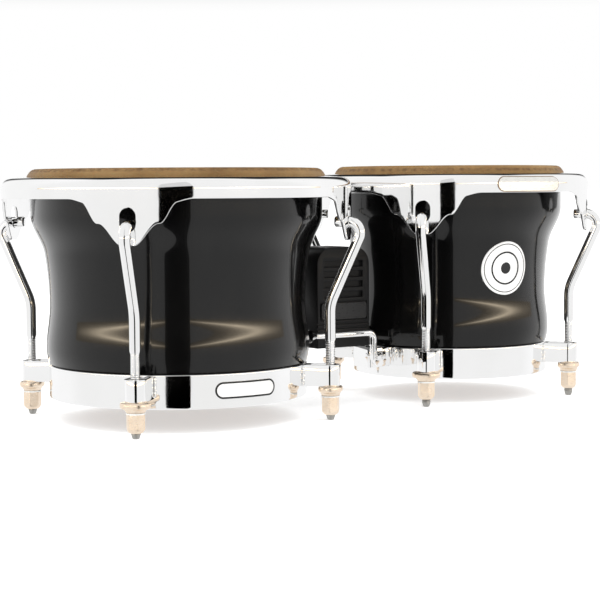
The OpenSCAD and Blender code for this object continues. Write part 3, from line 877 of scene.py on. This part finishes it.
def make_support_rod(d, block_x):
    """Rod from a bracket's tab up, round a bend and level past the block to its cone head."""
    leg, bend = d.ring + SUPPORT_LEG, 5.0
    end = abs(block_x - d.x) + BLOCK_W / 2 + 1.5
    path = [(leg, 34.0, 2.4), (leg, 34.1, 2.75)]
    path += [(leg, z, SUPPORT_R) for z in (34.5, 40, 46)]
    path += [(x, z, SUPPORT_R) for x, z in arc(leg + bend, ROD_Z - bend, bend, 180, 90, 14)]
    path += [(leg + bend + (end - leg - bend) * k / 6, ROD_Z, SUPPORT_R) for k in range(1, 7)]
    path += [(end + 5.3 * t, ROD_Z, SUPPORT_R + 2.2 * t) for t in (0.02, 0.25, 0.5, 0.75, 0.93)]
    path += [(end + 5.15, ROD_Z, 5.16), (end + 5.27, ROD_Z, 5.0), (end + 5.3, ROD_Z, 4.7)]
    parts = [sweep([(x, SUPPORT_Y, z - d.lift) for x, z, r in path], [r for x, z, r in path], 32)]
    for s in (-1, 1):
        y = SUPPORT_Y + s * (SUPPORT_R - 0.2)
        parts.append(weld_bead(leg + 0.2, y, 34.6 - d.lift, STRAP_Z + STRAP_H - 0.3, 0.9, 5 + s))
    verts, faces = join(*parts)
    return piece(d.name + "_support_bar", move(verts, d.at_block), faces, ["chrome"], ROOT,
                 [d.name + "_support_rod"], 45)


def rod_groove(block_x, s):
    """A cutter for the groove that a support rod lies in, at the front (s = -1) or the back of the block."""
    rows = []
    for x in (block_x - 40, block_x + 40):
        rows.append([(x, y, z) for y, z, _ in circle(SUPPORT_R + 0.06, x, 64, s * SUPPORT_Y, ROD_Z)])
    return grid(rows, caps=True)


def upright_bar(x, z0, z1, r):
    """A cutter for a screw's hole or counterbore."""
    return grid([circle(r, z, 48, x) for z in (z0, z1)], caps=True)


def box(x0, x1, z0, z1):
    """The (x, z) corners of a rectangle."""
    return [(x0, z0), (x1, z0), (x1, z1), (x0, z1)]


def recess(outline, face, depth, soft=0.3):
    """A cutter for a pocket of an (x, z) outline in a face at y = face, its mouth softened.

    depth points inwards.
    """
    s = 1 if depth > 0 else -1
    rows = []
    for y, e in ((face - s, -soft), (face, -soft), (face + s * soft * 0.4, -soft * 0.3),
                 (face + s * soft, 0.0), (face + depth - s * soft, 0.0), (face + depth, soft)):
        row = [(x, y, z) for x, z in inset(outline, e)]
        rows.append(row if s > 0 else row[::-1])
    return grid(rows, caps=True)


def make_block(block_x):
    """Moulded block: rounded shoulders, ribs and two grooves on both faces, a pocket for the plate."""
    lo, hi, corner = ROD_Z + 0.2, ROD_Z + 68.5, 13.5
    outline = arc(-BLOCK_W / 2 + 0.6, lo + 0.6, 0.6, 180, 270, 4)
    outline += arc(BLOCK_W / 2 - 0.6, lo + 0.6, 0.6, 270, 360, 4)
    outline += arc(BLOCK_W / 2 - corner, hi - corner, corner, 0, 90, 24)
    outline += arc(-BLOCK_W / 2 + corner, hi - corner, corner, 90, 180, 24)
    verts, faces = extrude(outline, -BLOCK_D / 2, BLOCK_D / 2, 0.8)
    verts = [(x + block_x, -h, z) for x, z, h in verts]
    body = piece("block_moulded", verts, faces, ["plastic"], ROOT, ["block_body"], 34)
    cutters = []
    for s in (-1, 1):
        face = s * BLOCK_D / 2
        cutters.append(rod_groove(block_x, s))
        cutters.append(upright_bar(block_x + s * SCREW_X, ROD_Z - 2, ROD_Z + 22, 2.6))
        for k in range(4):
            z = ROD_Z + 29 + 8 * k
            cutters.append(recess(box(block_x - 18.5, block_x + 18.5, z, z + 5), face, -s * 3.0))
        for z in (4.6, 8.2):
            groove = box(block_x - 40, block_x + 40, ROD_Z + z, ROD_Z + z + 1.4)
            cutters.append(recess(groove, face, -s * 1.0, 0.2))
    pocket = box(block_x - 22.6, block_x + 22.6, ROD_Z + 11.3, ROD_Z + 26.1)
    cutters.append(recess(pocket, -BLOCK_D / 2, 1.2, 0.15))
    cut(body, cutters, 34)
    return body


def make_clamp(block_x):
    """Clamp below the block, with its rod grooves and counterbores."""
    lo, hi = ROD_Z - 10, ROD_Z - 0.2
    corners = [(x, y, 0.8) for x, y in box(-BLOCK_W / 2, BLOCK_W / 2, -BLOCK_D / 2, BLOCK_D / 2)]
    verts, faces = extrude(rounded(corners, 4), lo, hi, 0.4)
    verts = [(x + block_x, y, z) for x, y, z in verts]
    clamp = piece("block_lower_clamp", verts, faces, ["plastic"], ROOT, ["block_clamp"], 34)
    cutters = []
    for s in (-1, 1):
        x = block_x + s * SCREW_X
        cutters += [rod_groove(block_x, s), upright_bar(x, lo - 2, ROD_Z + 2, 2.8),
                    upright_bar(x, lo - 2, lo + 4, 4.8)]
    cut(clamp, cutters, 34)
    return clamp


def make_screws(block_x):
    """Socket-head screws, seen from below in the clamp's counterbores."""
    base = ROD_Z - 9.7
    flats = 4.0 * cos(pi / 6)
    shank_and_head = ((28.0, 2.1), (27.6, 2.5), (3.68, 2.5), (3.68, 4.2), (3.4, 4.5), (0.4, 4.5), (0.1, 4.35),
                      (0.0, 4.1))
    steps = 48
    parts = []
    for s in (-1, 1):
        rows = [circle(r, base + z, steps) for z, r in shank_and_head]
        for z, f in ((0.0, 4.3), (0.25, flats), (2.0, flats)):
            row = []
            for k in range(steps):
                a = 2 * pi * k / steps
                r = hex_r(a, f)
                row.append((r * cos(a), r * sin(a), base + z))
            rows.append(row)
        verts, faces = grid(rows[::-1], caps=True)
        parts.append(([(x + block_x + s * SCREW_X, y, z) for x, y, z in verts], faces))
    verts, faces = join(*parts)
    return piece("socket_screws", verts, faces, ["chrome"], ROOT, ["block_screws"], 30)


def make_plate(block_x):
    """Blank plate on the block's front, with clipped corners and a fine raised rim."""
    x0, x1, z0, z1 = -21.5, 21.5, ROD_Z + 12.4, ROD_Z + 25.0
    c = 1.4
    outline = [(x0 + c, z0), (x1 - c, z0), (x1, z0 + c), (x1, z1 - c),
               (x1 - c, z1), (x0 + c, z1), (x0, z1 - c), (x0, z0 + c)]
    rows = []
    for y, e in ((-18.82, 0.0), (-20.8, 0.0), (-20.97, 0.06), (-21.02, 0.2), (-21.02, 1.0), (-20.95, 1.15),
                 (-20.8, 1.25)):
        rows.append([(x + block_x, y, z) for x, z in inset(outline, e)])
    verts, faces = grid(rows, caps=True)
    return piece("block_blank_plate", verts, faces, ["plate"], ROOT, ["block_plate"], 30)


# ---------------------------------------------------------------- labels and badges

def stadium(half_h, half_l, ends, middle):
    """Anticlockwise outline of a pill in (s, z), with as many points along its top as along its bottom."""
    turns = [pi * k / ends for k in range(ends)]
    out = [(half_l * (2 * k / middle - 1), -half_h) for k in range(middle)]
    out += [(half_l + half_h * sin(a), -half_h * cos(a)) for a in turns]
    out += [(half_l * (1 - 2 * k / middle), half_h) for k in range(middle)]
    out += [(-half_l - half_h * sin(a), half_h * cos(a)) for a in turns]
    return out


def hoop_wall(d, z):
    """How far the hoop's shoulder has turned in at a height."""
    zc = HOOP_TOP - 0.04 * (d.hoop - d.lip) - SHOULDER
    return SHOULDER - sqrt(SHOULDER ** 2 - (z - zc) ** 2) if z > zc else 0.0


def make_pill(name, d, r, half_h, half_l, z, levels, mats, node, body, turn=0.0, wall=lambda d, z: 0.0):
    """A thin pill on a round wall.

    levels are (inset from the rim, height over the wall, material up to the next).
    """
    ends, middle = 18, 30
    rows, picks = [], []
    count = 2 * (ends + middle)
    for e, t, pick in levels:
        row = []
        for s, h in stadium(half_h - e, half_l, ends, middle):
            a = s / r - radians(turn)
            out = r - wall(d, z + h) + t
            row.append((out * sin(a), -out * cos(a), z + h))
        rows.append(row)
        picks += [pick] * count
    verts, faces = grid(rows)
    picks = picks[:len(faces)]
    last, top = (len(rows) - 1) * count, middle + ends
    for k in range(middle):
        nxt = top + middle - 1 - k
        faces.append((last + k, last + k + 1, last + nxt, last + nxt + 1))
        picks.append(levels[-1][2])
    for start in (middle, 2 * middle + ends):
        faces.append(tuple(last + (start + k) % count for k in range(ends + 1)))
        picks.append(levels[-1][2])
    faces.append(tuple(range(count - 1, -1, -1)))
    picks.append(levels[0][2])
    return piece(name, move(verts, d.place), faces, mats, body, [node], 40, picks)


def make_round_badge(d):
    """Round badge that follows the macho's waist, with two thin rings and a dot in the middle."""
    z0 = BADGE_Z
    low, flat = 0.04, 0.88
    stops = [(21.2, low, 0), (21.2, 0.45, 0), (21.0, 0.72, 0), (20.6, 0.86, 0)]
    for rho, pick in ((19.4, 1), (18.7, 0), (16.0, 0), (13.2, 1), (11.8, 0), (9.5, 0), (7.0, 0),
                      (4.6, 1), (3.0, 1), (1.4, 1)):
        stops.append((rho, flat, pick))
    steps = 96
    ca, sa = cos(radians(d.turn - 1)), sin(radians(d.turn - 1))

    def turned(x, y, z):
        return x * ca - y * sa, x * sa + y * ca, z

    rows = []
    for rho, t, pick in stops:
        row = []
        for k in range(steps):
            a = 2 * pi * k / steps
            x, z = rho * cos(a), z0 + rho * sin(a)
            r = d.r - shell_inset(z) + t
            row.append(turned(x, -sqrt(r * r - x * x), z))
        rows.append(row)
    verts, faces = grid(rows)
    picks = [pick for rho, t, pick in stops[:-1] for k in range(steps)]
    last = (len(rows) - 1) * steps
    verts.append(turned(0, -(d.r - shell_inset(z0) + flat), z0))
    faces += [(last + k, last + (k + 1) % steps, len(verts) - 1) for k in range(steps)]
    verts.append(turned(0, -(d.r - shell_inset(z0) + low), z0))
    faces += [((k + 1) % steps, k, len(verts) - 1) for k in range(steps)]
    picks += [1] * steps + [0] * steps
    return piece("round_badge", move(verts, d.place), faces, ["enamel", "ink"], ROOT,
                 ["macho_shell_badge"], 35, picks)


# ---------------------------------------------------------------- build

def build_drum(d, block_x):
    make_shell(d)
    make_ring(d)
    make_head(d)
    make_flesh_hoop(d)
    make_hoop(d)
    make_nylon_washers(d)
    make_block_bracket(d)
    make_support_rod(d, block_x)
    for n in range(1, 5):
        make_lug_bracket(d, n)
        make_rod(d, n)
        make_cup_washer(d, n)
        make_nut(d, n)


hembra, macho = Drum("hembra"), Drum("macho")
lo, hi = span("block_body")
centre_x = (lo.x + hi.x) / 2
for drum in (hembra, macho):
    build_drum(drum, centre_x)
make_block(centre_x)
make_clamp(centre_x)
make_screws(centre_x)
make_plate(centre_x)
make_pill("ring_blank_label", hembra, hembra.ring, 6.0, 19.0, RING_Z + RING_H / 2 + 0.5,
          [(0.0, 0.04, 1), (0.0, 0.26, 1), (0.2, 0.3, 1)] + [(e, 0.3, 0) for e in (1.35, 2.5, 4.5, 5.5)],
          ["enamel", "ink"], "hembra_ring_label", ROOT)
make_pill("hoop_blank_badge", macho, macho.hoop, 6.0, 23.2, 171.2,
          [(0.0, 0.04, 0), (0.0, 0.5, 0), (0.2, 0.72, 0)] + [(e, 0.76, 1) for e in (0.6, 1.2, 2.5, 4.0, 5.4)],
          ["bronze", "satin"], "macho_hoop_badge", macho.hoop_body,
          1 - macho.turn, hoop_wall)
make_round_badge(macho)


# ---------------------------------------------------------------- stage, light and camera

def toward(nt, way, axis):
    """How far a direction points along an axis."""
    return add(nt, "ShaderNodeVectorMath", {"operation": "DOT_PRODUCT"}, i0=way, i1=axis).outputs["Value"]


def world():
    """Studio surround: white all round, but for a dark strip that runs over the ceiling to the back."""
    w = bpy.data.worlds.new("studio")
    bpy.context.scene.world = w
    w.use_nodes = True
    nt = w.node_tree
    back = nt.nodes["Background"]
    way = add(nt, "ShaderNodeTexCoord").outputs["Generated"]
    up = add(nt, "ShaderNodeSeparateXYZ", Vector=way).outputs["Z"]
    across = toward(nt, way, (0.828, -0.561, 0.0))
    along = toward(nt, way, (0.561, 0.828, 0.0))
    high = ramp(nt, up, (0.10, 0.0), (0.16, 1.0), (0.84, 1.0), (0.90, 0.0))
    strip = ramp(nt, calc(nt, "ABSOLUTE", across), (0.28, 1.0), (0.40, 0.0))
    behind = ramp(nt, along, (0.05, 0.0), (0.15, 1.0))
    dark = calc(nt, "MULTIPLY", calc(nt, "MULTIPLY", high, strip), behind)
    pale = ramp(nt, along, (0.0, (0.94, 0.94, 0.937)), (0.3, (1.0, 1.0, 1.0)))
    feed(back, Color=mix(nt, dark, pale, (0.02, 0.02, 0.02)))
    back.inputs["Strength"].default_value = 1.0


def flat_object(name, verts, mat):
    """One face of the studio."""
    mesh = bpy.data.meshes.new(name)
    mesh.from_pydata(verts, [], [tuple(range(len(verts)))])
    mesh.materials.append(mat)
    obj = bpy.data.objects.new(name, mesh)
    bpy.context.scene.collection.objects.link(obj)
    return obj


def floor():
    """Plain pale floor that blends into the surround."""
    m, nt, p = material("pale_floor", (0.92, 0.92, 0.92), 0.0, 0.9, Specular_IOR_Level=0.0,
                        Emission_Strength=0.55)
    grain = noise(nt, place_coords(nt), 90, 4)
    feed(p, Base_Color=ramp(nt, grain, (0.3, (0.90, 0.90, 0.90)), (0.7, (0.93, 0.93, 0.93))))
    p.inputs["Emission Color"].default_value = (1, 1, 1, 1)
    obj = flat_object("floor", [(-30, -30, 0), (30, -30, 0), (30, 30, 0), (-30, 30, 0)], m)
    obj.visible_glossy = False


def overhead_light():
    """A soft light above the drums that doesn't show in reflections."""
    where = Vector((0.0, -0.1, 2.2))
    light = bpy.data.lights.new("overhead", "AREA")
    light.shape = "RECTANGLE"
    light.size, light.size_y = 2.6, 2.6
    light.energy = 44
    obj = bpy.data.objects.new("overhead", light)
    obj.location = where
    obj.rotation_euler = (-where).to_track_quat("-Z", "Y").to_euler()
    obj.visible_camera = False
    obj.visible_glossy = False
    bpy.context.scene.collection.objects.link(obj)


def camera():
    """Camera at the photograph's angle."""
    cam = bpy.data.cameras.new("camera")
    cam.lens, cam.sensor_width = 103.907, 36.0
    az, el, roll = (radians(v) for v in (34.108, 3.8505, -0.3259))
    back = Vector((-sin(az) * cos(el), -cos(az) * cos(el), sin(el)))
    right = Vector((cos(az), -sin(az), 0))
    up = back.cross(right)
    x = right * cos(roll) + up * sin(roll)
    y = up * cos(roll) - right * sin(roll)
    obj = bpy.data.objects.new("camera", cam)
    turn = Matrix((x, y, back)).transposed()
    obj.matrix_world = Matrix.Translation((-0.77168, -1.12236, 0.17451)) @ turn.to_4x4()
    bpy.context.scene.collection.objects.link(obj)
    bpy.context.scene.camera = obj


def reflected_card(name, ends, z0, z1, glow, colour=(1, 1, 1), soft=False, one_sided=False):
    """An upright card that only shows in reflections.

    A soft one fades out from its middle line, and a one-sided one is clear from behind.
    """
    m, nt, p = material(name, (0.0, 0.0, 0.0), 0.0, 1.0, Specular_IOR_Level=0.0, Emission_Strength=glow)
    p.inputs["Emission Color"].default_value = (*colour, 1)
    if soft:
        way = add(nt, "ShaderNodeSeparateXYZ", Vector=add(nt, "ShaderNodeTexCoord").outputs["Generated"])
        along, high = (calc(nt, "PINGPONG", way.outputs[k], 0.5) for k in "XZ")
        along = ramp(nt, along, (0.0, 0.0), (0.2, 0.35), (0.35, 0.75), (0.5, 1.0))
        high = ramp(nt, high, (0.0, 0.0), (0.2, 0.06), (0.34, 0.2), (0.42, 0.5), (0.5, 1.0))
        feed(p, Emission_Strength=calc(nt, "MULTIPLY_ADD", calc(nt, "MULTIPLY", along, high), glow, 0.85))
    if one_sided:
        clear = add(nt, "ShaderNodeBsdfTransparent").outputs[0]
        behind = add(nt, "ShaderNodeNewGeometry").outputs["Backfacing"]
        both = add(nt, "ShaderNodeMixShader", i0=behind, i1=p.outputs[0], i2=clear).outputs[0]
        feed(nt.nodes["Material Output"], Surface=both)
    (x0, y0), (x1, y1) = ends
    card = flat_object(name, [(x0, y0, z0), (x1, y1, z0), (x1, y1, z1), (x0, y0, z1)], m)
    card.visible_camera = False
    card.visible_diffuse = False
    card.visible_shadow = False
    card.visible_transmission = False


world()
floor()

# The gap between the studio's white walls, and a flag in the notch between the drums
GAP = ((-1.64, -1.73), (-0.44, -0.85))
FLAG = ((-0.015, -0.190), (-0.018, -0.080))
reflected_card("dark_gap", GAP, -1.5, 0.5, 0.0)
reflected_card("dark_flag", FLAG, 0.028, 0.142, 0.0, one_sided=True)
reflected_card("pale_gap", GAP, 0.5, 2.2, 0.72)
camera()
overhead_light()

# Two warm strips that glow low on the shells
WARM = (1.0, 0.84, 0.62)
reflected_card("warm_right", ((3.29, -0.99), (-1.91, -3.07)), 0.236, 0.446, 17.0, WARM, soft=True)
reflected_card("warm_left", ((-1.855, -2.85), (-2.725, 2.08)), 0.241, 0.451, 17.0, WARM, soft=True)
bpy.context.scene.view_settings.view_transform = "Standard"

lo, hi = cad_box
